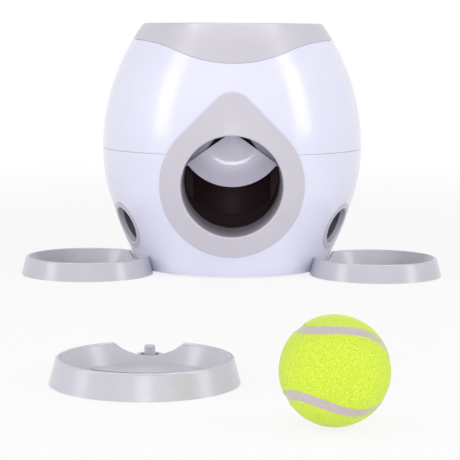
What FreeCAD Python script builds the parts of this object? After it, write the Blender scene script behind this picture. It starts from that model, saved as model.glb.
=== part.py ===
import FreeCAD, Part
import math
import os
import re
from functools import lru_cache
import Sketcher
from FreeCAD import Placement, Rotation, Vector

# Ball launcher for dogs with treat reward. Millimetres, +Z up, front towards -Y,
# origin on the body's axis at floor level.
# A ball dropped in the bowl falls down the drop tube, rolls out of the front hole and lifts
# the flap, whose shaft turns the feed wheel by one ratchet tooth and so drops a few treats.

SIZES = [
    # barrel-shaped body
    ("body_height", 235, "floor to the top of the rim"),
    ("equator_height", 116, "height of the widest place, where the shells part"),
    ("equator_radius", 125, "radius at the widest place"),
    ("crown_arc", 200, "profile arc above the equator"),
    ("waist_arc", 161, "profile arc just below the equator"),
    ("waist_turn", 19, "degrees that the waist arc turns"),
    ("skirt_arc", 683, "flatter profile arc down to the floor"),
    ("shell_wall", 2.6, "moulded wall"),
    ("floor_gap", 1.2, "shell rim and base plate above the floor"),
    ("seam_gap", 0.3, "fine groove between neighbouring mouldings"),
    ("seat_gap", 0.2, "clearance between a piece and its seat"),
    ("lip_height", 4, "overlap of a locating lip past a seam"),
    ("lip_depth", 8, "root of a locating lip below a seam"),
    ("web_wall", 2, "webs from the screw bosses to the shell"),
    ("web_depth", 24, "length of those webs, cut off by the shell"),
    ("lip_wall", 1.5, "wall of a locating lip"),
    ("catch_depth", 1.2, "how far a snap catch stands out"),
    ("catch_width", 14, "width of a snap catch"),
    # collar and rim
    ("side_drop", 15.5, "rim's top down to the collar's edge at the sides"),
    ("front_drop", 36.5, "rim's top down to the collar's edge at the front and rear"),
    ("dip_arc", 126, "arc of the dip"),
    ("shoulder_arc", 107, "arcs that lead out of the dip"),
    ("rim_width", 6.75, "top of the rim, inside to outside"),
    ("rim_round", 2.8, "rounding of the rim's two edges"),
    ("ledge_width", 5, "ledge that carries the bowl"),
    ("ledge_drop", 9, "rim's top down to that ledge"),
    ("ledge_wall", 2.5, "thickness of that ledge"),
    ("skirt_depth", 6, "collar's inner skirt below the lowest edge of the collar"),
    # bowl
    ("throat_bore", 35.5, "radius of the ball throat"),
    ("bowl_wall", 2.2, "wall of the bowl"),
    ("bowl_depth", 28.9, "drop of the bowl's cone"),
    ("throat_round", 9, "rounding from the cone into the throat"),
    ("neck_drop", 17.5, "foot of the cone down to the end of the bowl's neck"),
    ("flange_width", 4.5, "flange that rests on the ledge"),
    ("flange_step", 1.5, "flat inside the ledge before the cone starts"),
    # ball
    ("ball_diameter", 65, "tennis ball"),
    ("felt_depth", 3, "felt cover"),
    ("rubber_depth", 3.3, "rubber core wall"),
    ("ball_side", 59, "where the loose ball lies, to the right"),
    ("ball_ahead", 690, "where the loose ball lies, in front"),
    # ball hole and teardrop bezel
    ("hole_height", 86.9, "centre of the ball hole"),
    ("hole_radius", 46.8, "ball hole at the front"),
    ("bore_radius", 45.5, "ball hole at its inner end"),
    ("tube_wall", 2.2, "wall of the bezel's tube"),
    ("drop_radius", 66.5, "round part of the teardrop"),
    ("tip_rise", 86.1, "hole's centre up to the top of the teardrop"),
    ("tip_arc", 19, "rounding of the teardrop's tip"),
    ("bezel_proud", 2.2, "bezel above the shell"),
    ("bezel_round", 1.5, "rounding of the bezel's edges"),
    ("ring_length", 19, "full ring of the tube, inwards from the widest place"),
    ("trough_rise", 13.1, "behind the full ring the tube is open from here above the hole's centre"),
    # drop tube and trough
    ("chute_wall", 2.2, "wall of the drop tube and trough"),
    ("mouth_length", 1.5, "trough's front end ahead of the drop tube"),
    ("chute_stop", 1, "rear wall of the trough beside the drop tube, from the axis"),
    ("tube_drop", 5.5, "foot of the bowl's cone down to the top of the drop tube"),
    ("bore_step", 0.5, "trough narrower than the bezel's bore"),
    ("trough_slope", 3, "degrees that the trough falls to the front"),
    # flap, its carrier and shaft
    ("flap_radius", 51.5, "flap from shaft to lip"),
    ("flap_half", 54.6, "half angle of the fan, degrees"),
    ("flap_wall", 2, "thickness of the flap"),
    ("flap_dish", 8, "depth of the dish"),
    ("flap_belly", 26.8, "deepest place of the dish below the shaft"),
    ("flap_lean", 2, "lip in front of the shaft"),
    ("hub_radius", 4.2, "hub round the shaft"),
    ("hub_half", 15, "half length of the hub"),
    ("hub_grip", 0.02, "bore of a piece fixed on the shaft, over the shaft"),
    ("shaft_sink", 0.2, "shaft below the top of the ball hole"),
    ("lug_reach", 14.3, "shaft in front of the trough's end"),
    ("pin_radius", 2, "shaft radius"),
    ("pin_past_lug", 3, "shaft past the left lug"),
    ("pin_past_arm", 2, "shaft past the index arm"),
    ("running_gap", 0.05, "radial clearance of a running fit"),
    ("carrier_wall", 2.5, "carrier plate"),
    ("cheek_edge", 0.4, "carrier's cheeks wider than the ball hole"),
    ("cheek_gap", 0.5, "cheeks clear of the bezel's tube"),
    ("carrier_half", 30, "half width of the carrier's bridge"),
    ("carrier_rise", 7.5, "shaft up to the top of the carrier"),
    ("bridge_drop", 21.5, "shaft down to the bridge's lower edge"),
    ("notch_drop", 2.5, "shaft down to the top of the notch behind the flap"),
    ("notch_neck", 17.2, "half width of the notch at its top"),
    ("bend_drop", 8.1, "shaft down to where the notch starts to widen"),
    ("notch_turn", 52, "degrees of the notch's slanted edges above level"),
    ("lug_inner", 20, "inner face of a shaft lug"),
    ("lug_wall", 4, "lug thickness"),
    ("lug_radius", 5, "rounded end of a lug"),
    ("bush_wall", 1, "wall of a shaft bush"),
    ("arm_length", 15, "index arm, shaft to tip"),
    ("arm_wall", 4, "index arm thickness"),
    ("arm_width", 3.6, "index arm width"),
    ("clip_wall", 0.8, "retaining ring thickness"),
    ("clip_width", 1.6, "retaining ring, width round the shaft"),
    ("arm_inner", 34, "inner face of the index arm"),
    ("arm_tip", 2.5, "rounded tip of the index arm"),
    ("arm_back", 31, "degrees that the arm leans forward at rest"),
    ("carrier_screw_half", 10, "carrier screws from the middle"),
    ("carrier_screw_rise", 3.1, "carrier screws above the shaft"),
    ("carrier_screw_length", 4, "carrier screws, depth in their bosses"),
    ("spring_wire", 0.8, "return spring wire"),
    ("spring_radius", 3.6, "return spring coil radius"),
    ("spring_turns", 7, "coils of the return spring"),
    ("spring_pitch", 0.7, "pitch of the return spring"),
    # feed wheel and ratchet
    ("wheel_lift", 0.4, "vanes above the deck"),
    ("wheel_height", 12, "height of the vanes"),
    ("wheel_inset", 18.4, "vane tips inside the deck's edge"),
    ("tube_clear", 1.8, "wheel clear of the drop tube"),
    ("hub_wall", 7.95, "wall of the hub, which runs in the deck"),
    ("vane_count", 8, "vanes"),
    ("vane_wall", 3, "vane thickness"),
    ("hub_drop", 0.7, "hub below the deck"),
    ("hub_flange", 2.5, "hub wider above the deck, by this much"),
    ("ratchet_height", 6, "height of the ratchet ring"),
    ("ratchet_teeth", 16, "saw teeth"),
    ("tooth_step", 1.5, "root of the teeth outside the deck's bore"),
    ("tooth_height", 4.5, "root to tip of the teeth"),
    ("tooth_root", 1.5, "how deep a tooth is rooted in the ring"),
    ("ratchet_step", 2, "ratchet ring's bore wider than the hub's"),
    # deck
    ("deck_rise", 19.4, "shaft up to the underside of the deck"),
    ("deck_wall", 2.5, "deck thickness"),
    ("deck_gap", 1.52, "deck clear of the shell"),
    ("shelf_width", 3.9, "shell's ledge under the deck's edge"),
    ("shelf_wall", 3, "thickness of that ledge"),
    ("shelf_bevel", 5, "bevel under that ledge"),
    ("feed_inset", 19, "centres of the outlets and windows inside the vane tips"),
    # hopper
    ("wheel_gap", 0.8, "hopper clear of the vane tips"),
    ("hopper_wall", 2, "hopper wall"),
    ("hopper_drop", 28, "bowl's ledge down to the top of the hopper"),
    ("hopper_clear", 1, "top of the hopper clear of the collar's skirt"),
    ("hopper_gap", 0.6, "hopper floor above the vanes"),
    ("tab_width", 9, "width of a hopper tab"),
    ("hopper_screw_length", 11, "hopper screw length"),
    ("sleeve_rise", 6, "sleeve round the drop tube, above the hopper's floor"),
    ("window_width", 26, "radial width of a floor window"),
    ("window_turn", 44, "degrees that a floor window spans"),
    # treat ports
    ("port_turn", 66.5, "degrees from the front to the side ports"),
    ("port_height", 44, "centre of a port on the surface"),
    ("port_tilt", 20, "degrees that a port faces down"),
    ("port_outer", 23.4, "outer radius of a port ring"),
    ("port_bore", 17.8, "inner radius of a port ring"),
    ("port_proud", 0.6, "port ring above the shell"),
    ("port_round", 1.5, "rounding of a port ring's bore"),
    ("neck_wall", 1.8, "wall of a port ring's neck"),
    ("neck_length", 10, "neck of a port ring behind the surface"),
    ("tube_bend", 30, "bend radius of a treat chute"),
    ("tube_skin", 1.5, "wall of a treat chute"),
    ("tube_insert", 4, "how far a treat chute reaches into a port's neck"),
    # trays and docks
    ("peg_arm", 65.1, "tray centre beyond its peg"),
    ("tray_foot", 62, "tray radius on the floor"),
    ("tray_rim", 58, "outer radius of the rim"),
    ("tray_mouth", 54.6, "inner radius of the rim"),
    ("dish_radius", 48.6, "radius of the dish floor"),
    ("dish_step", 0.6, "hollow under the dish starts this far outside its floor"),
    ("rim_root", 0.8, "top of that hollow below the rim's rounding"),
    ("rim_skin", 1, "tray wall beside the top of that hollow"),
    ("tray_height", 16.7, "height of the rim"),
    ("dish_height", 3, "top of the dish floor"),
    ("tray_wall", 2, "tray wall"),
    ("tray_gap", 0.5, "tray clear of the body"),
    ("saddle_height", 7.5, "lowest place of the notch's edge"),
    ("saddle_arc", 36.7, "arc of the notch's edge"),
    ("saddle_past", 8, "how far the notch reaches over the dish floor"),
    ("rib_shift", 6.9, "centre of the floor ribs behind the peg"),
    ("rib_near", 61.6, "radius of the first floor rib"),
    ("rib_far", 88.8, "radius of the second floor rib"),
    ("rib_half_near", 35.4, "half angle of the first floor rib"),
    ("rib_half_far", 29.7, "half angle of the second floor rib"),
    ("rib_width", 2.2, "floor rib width"),
    ("rib_height", 1.2, "floor rib height"),
    ("rib_root", 0.5, "floor rib sunk into the dish floor"),
    ("tongue_width", 18, "tongue under the body"),
    ("tongue_wall", 2.6, "U wall of the tongue"),
    ("tongue_height", 6.2, "top of the U wall"),
    ("tongue_floor", 2.2, "top of the tongue's floor"),
    ("tongue_lift", 0.6, "underside of the tongue"),
    ("tongue_root", 4, "how far the tongue runs into the tray's wall"),
    ("tongue_bridge", 3, "closed end of the tongue's hollow"),
    ("peg_inset", 8.35, "peg inside the body's edge at the floor"),
    ("peg_radius", 3.8, "peg radius"),
    ("peg_top", 12.2, "top of the peg"),
    ("peg_bevel", 0.6, "bevel of the peg's end"),
    ("socket_gap", 0.25, "radial clearance of the peg in its socket"),
    ("dock_gap", 0.6, "dock clear of the tongue"),
    ("dock_wall", 1.6, "dock wall"),
    ("socket_radius", 6.4, "socket boss"),
    ("socket_top", 14, "top of the socket boss"),
    ("loose_side", 56, "where the loose tray lies, to the left"),
    ("loose_ahead", 567, "where the loose tray lies, in front"),
    # base
    ("base_wall", 2.4, "base plate"),
    ("foot_radius", 8, "rubber foot"),
    ("foot_reach", 60, "feet from the axis"),
    ("foot_turn", 30, "degrees from the front to the front feet"),
    ("foot_seat", 1, "how deep a foot sits in the plate"),
    ("boss_radius", 4, "screw boss"),
    ("boss_inset", 10.25, "screw bosses inside the body's edge at the floor"),
    ("boss_top", 22, "top of the screw bosses"),
    ("screw_radius", 1.4, "screw shank"),
    ("screw_gap", 0.1, "screw in its hole"),
    ("head_radius", 3, "screw head"),
    ("head_height", 1.1, "screw head height"),
    ("screw_length", 14, "screw length"),
    ("saddle_wall", 3, "saddle ribs that carry the trough"),
    ("saddle_half", 36, "half width of a saddle rib"),
    ("saddle_front", 28, "front saddle rib from the axis"),
    ("saddle_rear", 20, "rear saddle rib behind the axis"),
    ("saddle_drop", 28.9, "ball hole's centre down to the top of the saddle ribs"),
]

# Places that follow from the sizes.
PLACES = {
    "crown_start": "equator_radius - crown_arc",
    "rim_bore": "crown_start + sqrt(crown_arc ^ 2 - (body_height - equator_height) ^ 2) - rim_width",
    "ledge_bore": "rim_bore - ledge_width",
    "ledge_height": "body_height - ledge_drop",
    "collar_side": "body_height - side_drop",
    "collar_front": "body_height - front_drop",
    "cone_foot": "ledge_height + seat_gap + bowl_wall - bowl_depth",
    "neck_bottom": "cone_foot - neck_drop",
    "shaft_bore": "throat_bore + bowl_wall + seam_gap",
    "chute_top": "cone_foot - tube_drop",
    "chute_front": "shaft_bore + chute_wall + mouth_length",
    "trough_radius": "bore_radius - bore_step",
    "trough_top": "hole_height + trough_rise",
    "ring_depth": "equator_radius - ring_length",
    "tip_height": "hole_height + tip_rise",
    "pivot_height": "hole_height + hole_radius - shaft_sink",
    "pivot_ahead": "chute_front + lug_reach",
    "pin_left": "lug_inner + lug_wall + pin_past_lug",
    "pin_right": "arm_inner + arm_wall + pin_past_arm",
    "carrier_radius": "hole_radius + cheek_edge",
    "carrier_top": "pivot_height + carrier_rise",
    "bridge_low": "pivot_height - bridge_drop",
    "notch_top": "pivot_height - notch_drop",
    "notch_bend": "pivot_height - bend_drop",
    "carrier_screw_height": "pivot_height + carrier_screw_rise",
    "deck_bottom": "pivot_height + deck_rise",
    "deck_top": "deck_bottom + deck_wall",
    "deck_radius": "crown_start + sqrt((crown_arc - shell_wall) ^ 2 - (deck_bottom - equator_height) ^ 2)"
                   " - deck_gap",
    "deck_ledge": "deck_radius - shelf_width",
    "wheel_bottom": "deck_top + wheel_lift",
    "wheel_top": "wheel_bottom + wheel_height",
    "wheel_radius": "deck_radius - wheel_inset",
    "wheel_bore": "shaft_bore + chute_wall + tube_clear",
    "hub_outer": "wheel_bore + hub_wall",
    "hub_bottom": "deck_bottom - hub_drop",
    "deck_bore": "hub_outer + running_gap",
    "ratchet_top": "hub_bottom - seat_gap",
    "ratchet_bottom": "ratchet_top - ratchet_height",
    "ratchet_bore": "wheel_bore + ratchet_step",
    "ratchet_root": "deck_bore + tooth_step",
    "ratchet_tip": "ratchet_root + tooth_height",
    "feed_radius": "wheel_radius - feed_inset",
    "outlet_bore": "port_bore - seat_gap - tube_skin",
    "hopper_floor": "wheel_top + hopper_gap",
    "hopper_foot": "deck_top + seat_gap",
    "hopper_outer": "wheel_radius + wheel_gap + hopper_wall",
    "hopper_limit": "equator_height + sqrt((crown_arc - shell_wall) ^ 2"
                    " - (hopper_outer + hopper_clear + lip_wall + seat_gap - crown_start) ^ 2)",
    "hopper_top": "min(ledge_height - hopper_drop; hopper_limit)",
    "sleeve_bore": "shaft_bore + chute_wall + seam_gap",
    "sleeve_top": "hopper_floor + hopper_wall + sleeve_rise",
    "tab_reach": "deck_ledge - boss_radius",
    "skirt_start": "equator_radius - waist_arc - (skirt_arc - waist_arc) * cos(waist_turn * 1 deg)",
    "skirt_level": "equator_height + (skirt_arc - waist_arc) * sin(waist_turn * 1 deg)",
    "floor_radius": "skirt_start + sqrt(skirt_arc ^ 2 - (skirt_level - floor_gap) ^ 2)",
    "peg_reach": "floor_radius - peg_inset",
    "boss_reach": "floor_radius - boss_inset",
    "tray_reach": "peg_reach + peg_arm",
    "rib_centre": "peg_reach - rib_shift",
    "saddle_top": "hole_height - saddle_drop",
}

DOCKS = {"left": -1, "right": 1}  # side ports, as multiples of port_turn; the rear one is at 180
WORD = re.compile(r"\b([a-z]+_[a-z_]+)\b")
UP = Vector(0, 0, 1)
FORWARD = Vector(0, -1, 0)
RIGHT = Vector(1, 0, 0)
ZERO = Vector(0, 0, 0)
FAR = 300.0  # past everything, for cutting tools
PAST = 1.0  # how far a cutting tool runs past a face
ALONG_X = Rotation(Vector(0, 1, 0), 90)
TO_FRONT = Rotation(RIGHT, 90)
BETWEEN = "(port_turn / 2 + 90)"  # half way between a side port and the rear one
FOOT_TURNS = ["foot_turn", "-foot_turn", BETWEEN, "-" + BETWEEN]
WINDOW_TURNS = ["0", BETWEEN, "-" + BETWEEN]

doc = FreeCAD.newDocument("ball_launcher")
sheet = doc.addObject("Spreadsheet::Sheet", "Sizes")
for row, (alias, value, note) in enumerate(SIZES, start=1):
    sheet.set("A%d" % row, alias)
    sheet.set("B%d" % row, str(value))
    sheet.set("C%d" % row, note)
    sheet.setAlias("B%d" % row, alias)
doc.recompute()


def spelled(text):
    """An expression of sizes and places, written out for the document."""
    while any(word in PLACES for word in WORD.findall(text)):
        text = WORD.sub(lambda found: "(%s)" % PLACES.get(found[0], found[0]), text)
    return WORD.sub(r"Sizes.\1", text)


@lru_cache(maxsize=None)
def size(name):
    """Value of a size or place."""
    return float(sheet.evalExpression(spelled(name)))


def bind(thing, settings):
    """Ties each property of a document object to an expression of the sheet's sizes."""
    for name, text in settings.items():
        thing.setExpression(name, spelled(text))


# ---- construction helpers -------------------------------------------------------------------

def in_azimuth(shape, degrees):
    """A copy of a shape that was built at the front, turned round the body's axis."""
    turned = shape.copy()
    turned.rotate(ZERO, UP, degrees)
    return turned


def solid_of_turn(points_and_arcs):
    """Turns a closed half section in the XZ plane round Z.

    Each entry is a corner (radius, height), or (radius, height, mid_radius, mid_height) where
    the edge to the next corner is an arc through that middle point."""
    edges = []
    count = len(points_and_arcs)
    for index, corner in enumerate(points_and_arcs):
        following = points_and_arcs[(index + 1) % count]
        start = Vector(corner[0], 0, corner[1])
        end = Vector(following[0], 0, following[1])
        if len(corner) == 4:
            edges.append(Part.Arc(start, Vector(corner[2], 0, corner[3]), end).toShape())
        else:
            edges.append(Part.makeLine(start, end))
    face = Part.Face(Part.Wire(edges))
    return face.revolve(ZERO, UP, 360)


def feature(label, shape, placement=None):
    thing = doc.addObject("Part::Feature", label)
    thing.Shape = shape.removeSplitter()
    if placement is not None:
        thing.Placement = placement
    return thing


def origin_part(body, role):
    for part in body.Origin.OriginFeatures:
        if part.Role == role:
            return part
    raise ValueError(role)


def bound_outline(body, name, role, corners):
    """A sketch of straight edges whose every corner is tied to the sheet."""
    sketch = body.newObject("Sketcher::SketchObject", name)
    sketch.AttachmentSupport = (origin_part(body, role), "")
    sketch.MapMode = "FlatFace"
    values = []
    for across, along in corners:
        values.append([float(sketch.evalExpression(spelled(text))) for text in (across, along)])
    edges = []
    for index, value in enumerate(values):
        following = values[(index + 1) % len(values)]
        edges.append(sketch.addGeometry(Part.LineSegment(Vector(*value, 0), Vector(*following, 0))))
    for index, edge in enumerate(edges):
        following = edges[(index + 1) % len(edges)]
        sketch.addConstraint(Sketcher.Constraint("Coincident", edge, 2, following, 1))
    for edge, texts, value in zip(edges, corners, values):
        for kind, axis, text, number in zip(("DistanceX", "DistanceY"), (-2, -1), texts, value):
            if text == "0":
                sketch.addConstraint(Sketcher.Constraint("PointOnObject", edge, 1, axis))
                continue
            tie = sketch.addConstraint(Sketcher.Constraint(kind, -1, 1, edge, 1, number))
            sketch.setExpression("Constraints[%d]" % tie, spelled(text))
    return sketch


def turned_body(label, corners):
    """A PartDesign body made by one revolution of a bound outline."""
    body = doc.addObject("PartDesign::Body", label)
    sketch = bound_outline(body, label + "_section", "XZ_Plane", corners)
    turn = body.newObject("PartDesign::Revolution", label + "_turn")
    turn.Profile = sketch
    turn.ReferenceAxis = (sketch, ["V_Axis"])
    turn.Angle = 360
    doc.recompute()
    return body


def bound_circle(body, name, height, radius, across="0", along="0"):
    """A sketch of one circle at a height on the body's own axes, tied to the sheet."""
    sketch = body.newObject("Sketcher::SketchObject", name)
    sketch.AttachmentSupport = (origin_part(body, "XY_Plane"), "")
    sketch.MapMode = "FlatFace"
    bind(sketch, {"AttachmentOffset.Base.z": height})
    texts = [spelled(text) for text in (across, along, radius)]
    x, y, r = [float(sketch.evalExpression(text)) for text in texts]
    circle = sketch.addGeometry(Part.Circle(Vector(x, y, 0), UP, r))
    tie = sketch.addConstraint(Sketcher.Constraint("Radius", circle, r))
    sketch.setExpression("Constraints[%d]" % tie, texts[2])
    for kind, axis, text, number in (("DistanceX", -2, texts[0], x), ("DistanceY", -1, texts[1], y)):
        if text == "0":
            sketch.addConstraint(Sketcher.Constraint("PointOnObject", circle, 3, axis))
            continue
        tie = sketch.addConstraint(Sketcher.Constraint(kind, -1, 1, circle, 3, number))
        sketch.setExpression("Constraints[%d]" % tie, text)
    return sketch


def add_feature(body, kind, label, sketch, length):
    """A Pad or Pocket of a sketch, with its length tied to the sheet."""
    step = body.newObject(kind, label)
    step.Profile = sketch
    bind(step, {"Length": length})
    doc.recompute()
    return step


def add_polar(body, label, step, count):
    """Repeats a feature round the body's Z axis."""
    pattern = body.newObject("PartDesign::PolarPattern", label)
    pattern.Originals = [step]
    pattern.Axis = (origin_part(body, "Z_Axis"), [""])
    pattern.Angle = 360
    bind(pattern, {"Occurrences": count})
    body.Tip = pattern
    doc.recompute()
    return pattern


def tied(kind, label, settings, place, turn=None):
    """A Part primitive whose sizes and place are tied to the sheet."""
    thing = doc.addObject(kind, label)
    if turn is not None:
        thing.Placement = Placement(ZERO, turn)
    bind(thing, settings)
    bind(thing, dict(zip(("Placement.Base.x", "Placement.Base.y", "Placement.Base.z"), place)))
    return thing


def across_pin(label, radius, length, left):
    """A cylinder round the flap's shaft line, from left towards the right."""
    return tied("Part::Cylinder", label, {"Radius": radius, "Height": length},
                (left, "-pivot_ahead", "pivot_height"), ALONG_X)


def pivot_bore(label, radius):
    """A cutting cylinder along the whole shaft line."""
    return across_pin(label, radius, "2 * pin_right + 2 * pin_left", "-pin_right - pin_left")


def round_axis(reach, turn):
    """Expressions for the place at a distance from the body's axis, turned from the front."""
    if turn == "0":
        return "0", "-" + reach
    return "%s * sin(%s * 1 deg)" % (reach, turn), "-%s * cos(%s * 1 deg)" % (reach, turn)


def together(kind, label, things):
    """A Part::MultiFuse or Part::Compound of document objects."""
    thing = doc.addObject(kind, label)
    if kind == "Part::Compound":
        thing.Links = things
    else:
        thing.Shapes = things
    doc.recompute()
    return thing


def joined(kind, label, first, second):
    """A Part::Cut, Part::Fuse or Part::Common of two document objects."""
    thing = doc.addObject(kind, label)
    thing.Base = first
    thing.Tool = second
    doc.recompute()
    return thing


# ---- the barrel form ------------------------------------------------------------------------

def waist_end(offset):
    """Height where the waist arc meets the skirt arc, on a surface grown by offset."""
    turn = math.radians(size("waist_turn"))
    return size("equator_height") - (size("waist_arc") + offset) * math.sin(turn)


def barrel_radius(height, offset=0.0):
    """Radius of the body's surface, grown by offset, at a height."""
    above = height - size("equator_height")
    if above >= 0:
        return size("crown_start") + math.sqrt((size("crown_arc") + offset) ** 2 - above ** 2)
    if height >= waist_end(offset):
        arc = size("waist_arc")
        return size("equator_radius") - arc + math.sqrt((arc + offset) ** 2 - above ** 2)
    reach = (size("skirt_arc") + offset) ** 2 - (height - size("skirt_level")) ** 2
    return size("skirt_start") + math.sqrt(reach)


def barrel(offset, low, high):
    """The solid inside the body's surface grown by offset, between two heights."""
    breaks = [size("equator_height"), waist_end(offset)]
    heights = sorted([low, high] + [level for level in breaks if low < level < high])
    section = [(0, low)]
    for start, end in zip(heights, heights[1:]):
        middle = (start + end) / 2
        section.append((barrel_radius(start, offset), start, barrel_radius(middle, offset), middle))
    section.append((barrel_radius(high, offset), high))
    section.append((0, high))
    return solid_of_turn(section)


def barrel_wall(outer, inner, low, high):
    """The layer between two offsets of the body's surface."""
    return barrel(outer, low, high).cut(barrel(inner, low - PAST, high + PAST))


def above_wave(shift=0.0):
    """Everything above the collar's wavy edge, lowered by shift."""
    dip, shoulder = size("dip_arc"), size("shoulder_arc")
    front, side = size("collar_front") - shift, size("collar_side") - shift
    rise = (front + dip) - (side - shoulder)
    half = math.sqrt((dip + shoulder) ** 2 - rise ** 2)
    meet = Vector(half * dip / (dip + shoulder), 0, front + dip - rise * dip / (dip + shoulder))
    turn = math.atan2(half, rise)
    crest = Vector(half - shoulder * math.sin(turn / 2), 0, side - shoulder + shoulder * math.cos(turn / 2))
    end = Vector(half, 0, side)
    mirrored = [Vector(-point.x, 0, point.z) for point in (meet, crest, end)]
    top = [Vector(sign * FAR, 0, level) for sign, level in ((1, side), (1, FAR), (-1, FAR), (-1, side))]
    edges = [
        Part.Arc(mirrored[2], mirrored[1], mirrored[0]).toShape(),
        Part.Arc(mirrored[0], Vector(0, 0, front), meet).toShape(),
        Part.Arc(meet, crest, end).toShape(),
        Part.makeLine(end, top[0]),
        Part.makeLine(top[0], top[1]),
        Part.makeLine(top[1], top[2]),
        Part.makeLine(top[2], top[3]),
        Part.makeLine(top[3], mirrored[2]),
    ]
    face = Part.Face(Part.Wire(edges))
    face.translate(Vector(0, FAR, 0))
    return face.extrude(Vector(0, -2 * FAR, 0))


def forward_cylinder(radius, start, length=FAR):
    """A cylinder on the ball hole's axis, from start ahead of the body's axis towards the front."""
    return Part.makeCylinder(radius, length, Vector(0, -start, size("hole_height")), FORWARD)


def front_wedge(half):
    """A tall prism that opens from the body's axis to the front, half degrees to each side."""
    corners = [ZERO]
    for side in (-1, 1):
        angle = math.radians(half * side)
        corners.append(Vector(FAR * math.sin(angle), -FAR * math.cos(angle), 0))
    return Part.Face(Part.makePolygon(corners + corners[:1])).extrude(UP * FAR)


def front_hole():
    """Room in the shells for the bezel's tube."""
    radius = size("hole_radius") + size("tube_wall") + 2 * size("seat_gap")
    return forward_cylinder(radius, size("pivot_ahead"))


# ---- treat ports ----------------------------------------------------------------------------

def port_frame():
    """Centre of the front-facing port on the surface, and the way it faces."""
    tilt = math.radians(size("port_tilt"))
    centre = Vector(0, -barrel_radius(size("port_height")), size("port_height"))
    return centre, Vector(0, -math.cos(tilt), -math.sin(tilt))


def port_cylinder(radius, behind, length):
    centre, facing = port_frame()
    return Part.makeCylinder(radius, length, centre - facing * behind, facing)


def port_azimuths():
    azimuths = {name: sign * size("port_turn") for name, sign in DOCKS.items()}
    azimuths["rear"] = 180.0
    return azimuths


def make_outlet_ring():
    """Ring that follows the barrel, with a rounded bore and a neck through the shell."""
    reach = 2 * size("port_outer")
    bore, neck_wall, equator = size("port_bore"), size("neck_wall"), size("equator_height")
    skin = barrel_wall(size("port_proud"), size("seam_gap") / 2, 0, equator)
    ring = skin.common(port_cylinder(size("port_outer"), reach / 2, reach))
    neck = port_cylinder(bore + neck_wall, size("neck_length"), reach)
    neck = neck.common(barrel(size("port_proud") / 2, 0, equator))
    behind = size("shell_wall") + size("seat_gap")
    bead = barrel_wall(-behind, -behind - neck_wall, 0, equator)
    bead = bead.common(port_cylinder(bore + neck_wall + size("catch_depth") / 2, reach / 2, reach))
    width = size("catch_width")
    bead = bead.common(Part.makeBox(width, FAR, FAR, Vector(-width / 2, -FAR, 0)))
    ring = ring.fuse([neck, bead]).cut(port_cylinder(bore, reach, 2 * reach)).removeSplitter()
    centre, facing = port_frame()
    mouth = []
    for edge in ring.Edges:
        from_axis = [(point.Point - centre).cross(facing).Length for point in edge.Vertexes]
        outward = [(point.Point - centre).dot(facing) for point in edge.Vertexes]
        if max(abs(radius - bore) for radius in from_axis) < 0.01 and min(outward) > -neck_wall:
            mouth.append(edge)
    return ring.makeFillet(size("port_round"), mouth)


def make_treat_chute():
    """Bent tube from the deck down and out to the port."""
    centre, facing = port_frame()
    tilt = math.radians(size("port_tilt"))
    top = Vector(0, -size("feed_radius"), size("deck_bottom") - size("seat_gap"))
    run = (-centre.y - size("feed_radius")) / math.cos(tilt)
    corner = centre - facing * run
    turn = math.pi / 2 - tilt
    bend = min(size("tube_bend"), (run - size("neck_length")) / math.tan(turn / 2))
    setback = bend * math.tan(turn / 2)
    bend_start = corner + UP * setback
    bend_end = corner + facing * setback
    bisector = (UP + facing).normalize()
    bend_centre = corner + bisector * (bend / math.cos(turn / 2))
    bend_middle = bend_centre - bisector * bend
    end = centre - facing * (size("neck_length") - size("tube_insert"))
    path = Part.Wire([
        Part.makeLine(top, bend_start),
        Part.Arc(bend_start, bend_middle, bend_end).toShape(),
        Part.makeLine(bend_end, end),
    ])
    tubes = []
    for radius in (size("outlet_bore") + size("tube_skin"), size("outlet_bore")):
        section = Part.Wire([Part.makeCircle(radius, top, UP)])
        tubes.append(path.makePipeShell([section], True, True))
    flange = Part.makeCylinder(size("outlet_bore") + 2 * size("tube_skin"), size("tube_skin"),
                               top - UP * size("tube_skin"), UP)
    return tubes[0].fuse(flange).cut(tubes[1])


# ---- shells and collar ----------------------------------------------------------------------

def make_dock_cut():
    """Clearance in the shell's rim for a tray's tongue and its dock."""
    half = size("tongue_width") / 2 + size("dock_gap") + size("dock_wall") + size("seat_gap")
    height = size("tongue_height") + size("dock_gap") + size("dock_wall") + size("seat_gap")
    return Part.makeBox(2 * half, FAR, height + PAST, Vector(-half, half - size("peg_reach") - FAR, -PAST))


def foot_azimuths():
    front = size("foot_turn")
    rear = (size("port_turn") + 180) / 2
    return [front, -front, rear, -rear]


def make_lower_shell():
    wall, lip = size("shell_wall"), size("lip_wall")
    gap, seat = size("seam_gap"), size("seat_gap")
    equator = size("equator_height")
    shell = barrel_wall(0, -wall, size("floor_gap"), equator - gap / 2)
    low = equator - size("lip_depth")
    root = barrel_wall(-wall / 2, -wall - seat - lip, low, equator - gap)
    tongue = barrel_wall(-wall - seat, -wall - seat - lip, low, equator + size("lip_height"))
    shell = shell.fuse([root, tongue])
    for azimuth in foot_azimuths():
        reach = size("boss_reach")
        base = size("floor_gap") + size("base_wall") + seat
        boss = Part.makeCylinder(size("boss_radius"), size("boss_top") - base, Vector(0, -reach, base))
        web = make_web(reach, base, size("boss_top") - size("web_wall"))
        pilot = Part.makeCylinder(size("screw_radius") + size("screw_gap"), FAR, Vector(0, -reach, 0))
        boss = boss.fuse(web).common(barrel(-wall / 2, 0, equator)).cut(pilot)
        shell = shell.fuse(in_azimuth(boss, azimuth))
    shell = shell.cut(front_hole())
    outer = size("port_outer")
    port = port_cylinder(size("port_bore") + size("neck_wall") + seat, outer, 2 * outer)
    dock = make_dock_cut()
    for azimuth in port_azimuths().values():
        shell = shell.cut(in_azimuth(port, azimuth)).cut(in_azimuth(dock, azimuth))
    return shell


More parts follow.
